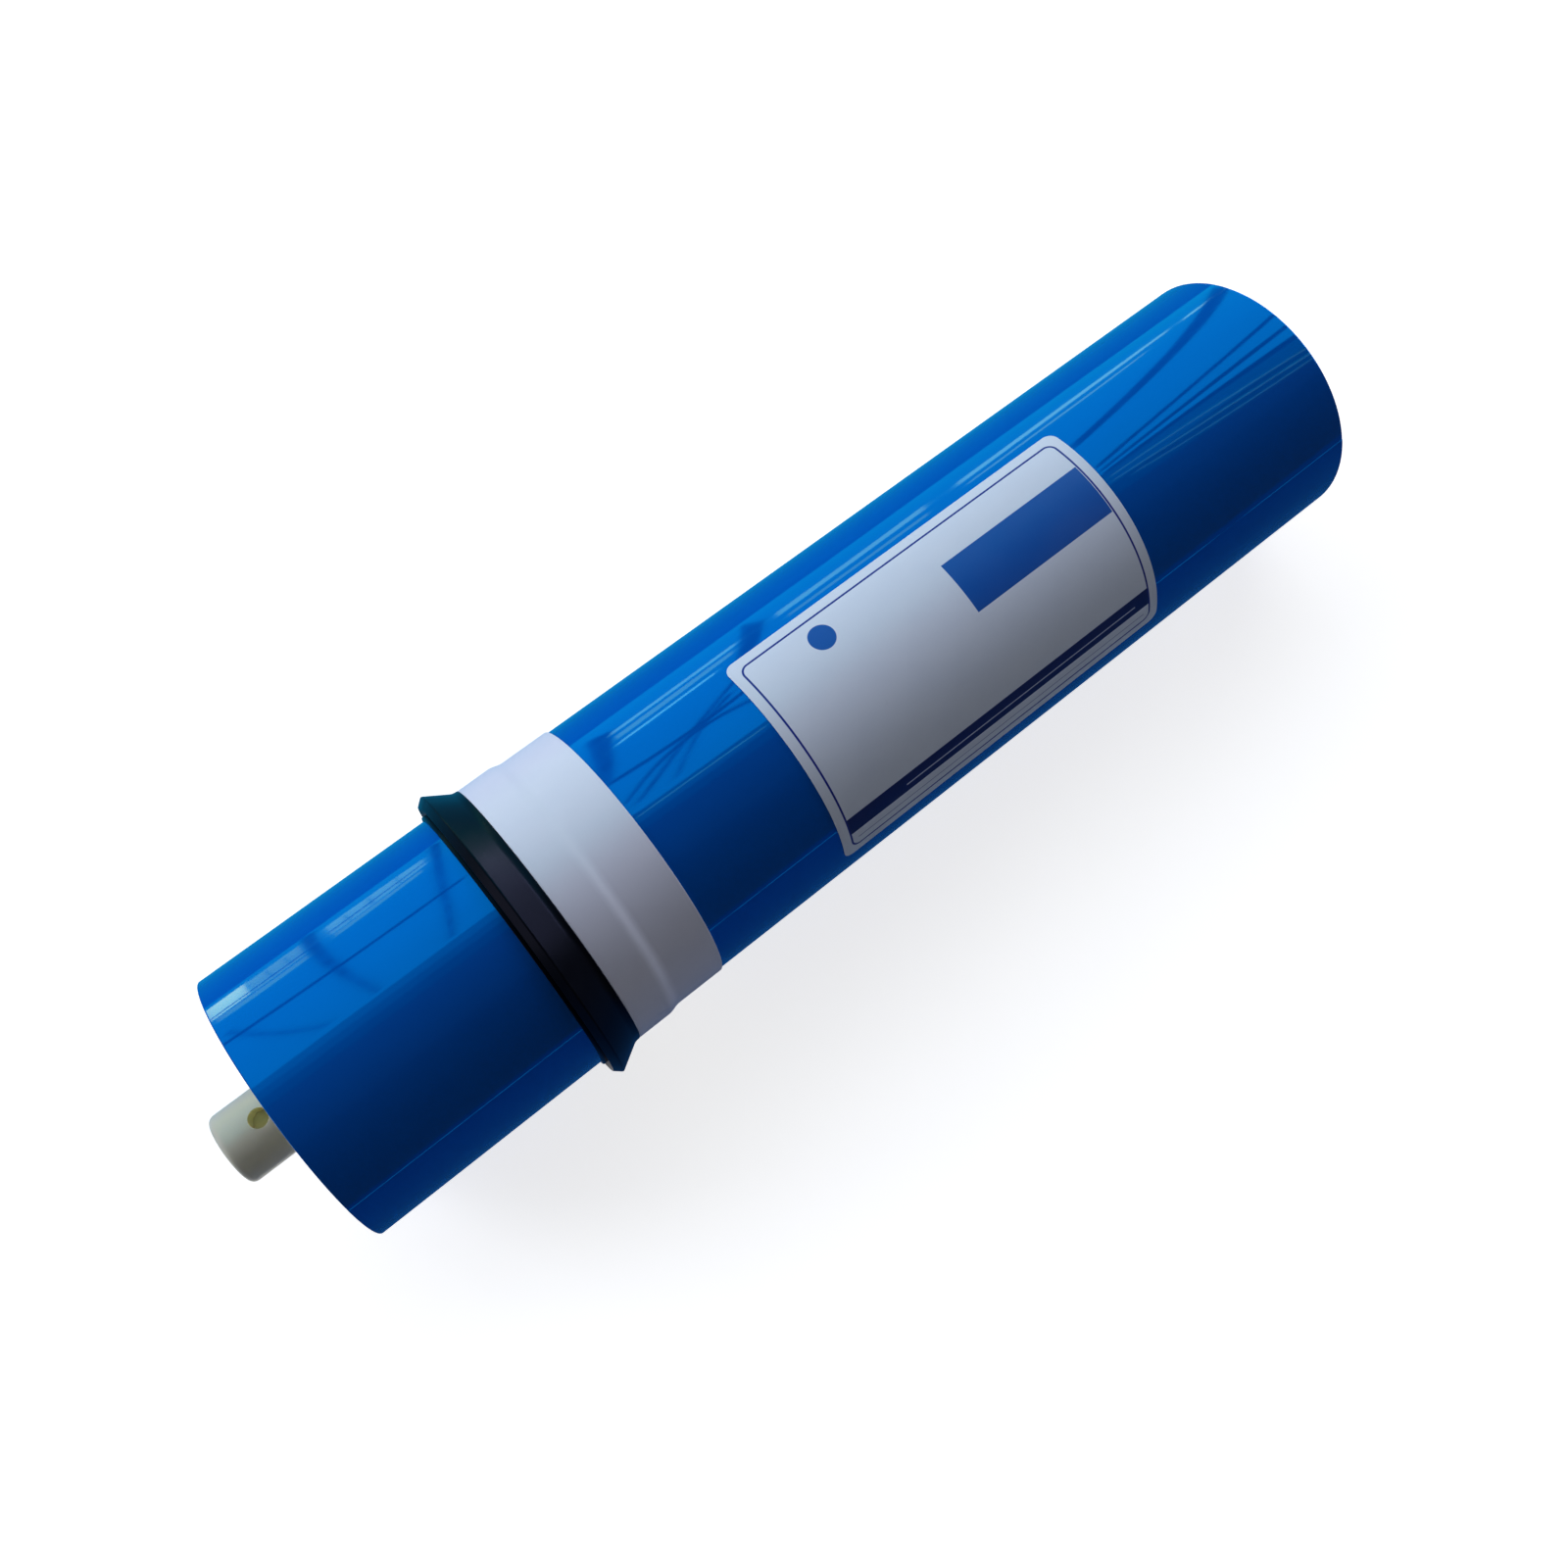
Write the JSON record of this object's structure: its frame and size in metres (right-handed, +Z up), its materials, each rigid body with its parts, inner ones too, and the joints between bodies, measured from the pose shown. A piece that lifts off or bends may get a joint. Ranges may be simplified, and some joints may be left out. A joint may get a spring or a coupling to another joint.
{
  "type": "spiral-wound reverse osmosis membrane element",
  "caption": "Cylindrical spiral-wound membrane cartridge: glossy blue film shell, black lip seal with white stepped collar, curved label, perforated permeate tube through the core.",
  "frame": {"origin": "on the axis, halfway between the two ends of the permeate tube, which is also the middle of the blue shell", "axes": "+X runs along the axis from the feed end, where the lip seal is, to the open outlet end of the permeate tube; +Z is up, square to the axis, and the drive hole in the feed stub faces +Z"},
  "size_m": [0.3598, 0.0858, 0.0858],
  "materials": {
    "tube_plastic": "satin moulded plastic, slightly translucent ivory",
    "carrier_cloth": "fine white tricot cloth",
    "membrane_sheet": "matte off-white polymer sheet",
    "spacer_net": "extruded net, natural white",
    "shell_film": "glossy blue adhesive film",
    "collar_plastic": "satin white moulded plastic",
    "seal_rubber": "moulded black rubber",
    "label_film": "printed film label, silvery white with blue bands"
  },
  "bodies": {
    "root": {"permeate_tube": "tube_plastic", "core_carrier": "carrier_cloth", "membrane_leaf_1": "membrane_sheet", "membrane_leaf_2": "membrane_sheet", "membrane_leaf_3": "membrane_sheet", "membrane_leaf_4": "membrane_sheet", "feed_spacer_1": "spacer_net", "feed_spacer_2": "spacer_net", "feed_spacer_3": "spacer_net", "feed_spacer_4": "spacer_net", "outer_wrap": "shell_film", "seal_collar": "collar_plastic", "brine_seal": "seal_rubber", "label": "label_film"}
  },
  "joints": []
}
